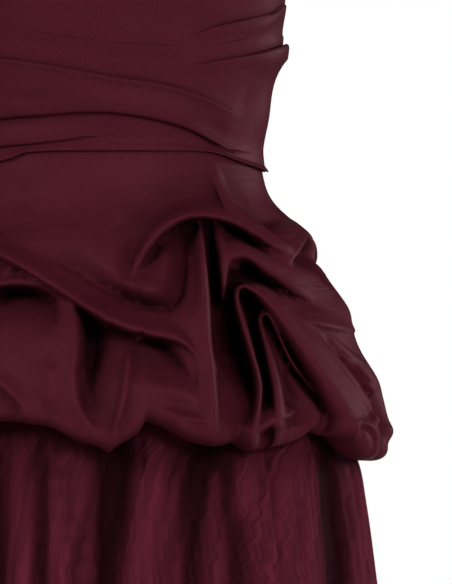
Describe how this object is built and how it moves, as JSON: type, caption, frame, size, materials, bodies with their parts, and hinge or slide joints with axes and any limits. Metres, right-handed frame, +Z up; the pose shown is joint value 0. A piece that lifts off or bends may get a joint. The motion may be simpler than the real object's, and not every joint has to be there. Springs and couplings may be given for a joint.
{
  "type": "tulle mini dress",
  "caption": "Strapless mini dress in the form it keeps when worn: a draped satin bodice, a satin bubble overskirt with pick-up folds, and a gathered tulle skirt over a slip.",
  "frame": {"origin": "centre of the wearer's waist, where the bodice meets the overskirt", "axes": "+Z up towards the bust, -Y to the front of the dress, +X towards the wearer's left"},
  "size_m": [0.444, 0.3642, 0.6461],
  "materials": {
    "satin": "heavy dull satin, wine red",
    "tulle": "soft net, wine red, gathered",
    "slip": "plain lining, dark wine red",
    "zip_tape": "woven tape, dark wine red",
    "zip_metal": "lacquered zinc, wine red"
  },
  "bodies": {
    "root": {"bodice_front": "satin", "bodice_back_left": "satin", "bodice_back_right": "satin", "overskirt_front": "satin", "overskirt_back_left": "satin", "overskirt_back_right": "satin", "slip_front": "slip", "slip_back_left": "slip", "slip_back_right": "slip", "tulle_under_front": "tulle", "tulle_under_back": "tulle", "tulle_outer_front": "tulle", "tulle_outer_back": "tulle", "zip_tape_left": "zip_tape", "zip_tape_right": "zip_tape", "zip_slider": "zip_metal"},
    "pull_tab": {"zip_pull_tab": "zip_metal"}
  },
  "joints": [
    {"name": "pull_tab_hinge", "type": "hinge", "parent": "root", "child": "pull_tab", "pos_m": [0, 0.1056, 0.172], "axis": [1, 0, 0], "range_deg": [0, 165]}
  ]
}
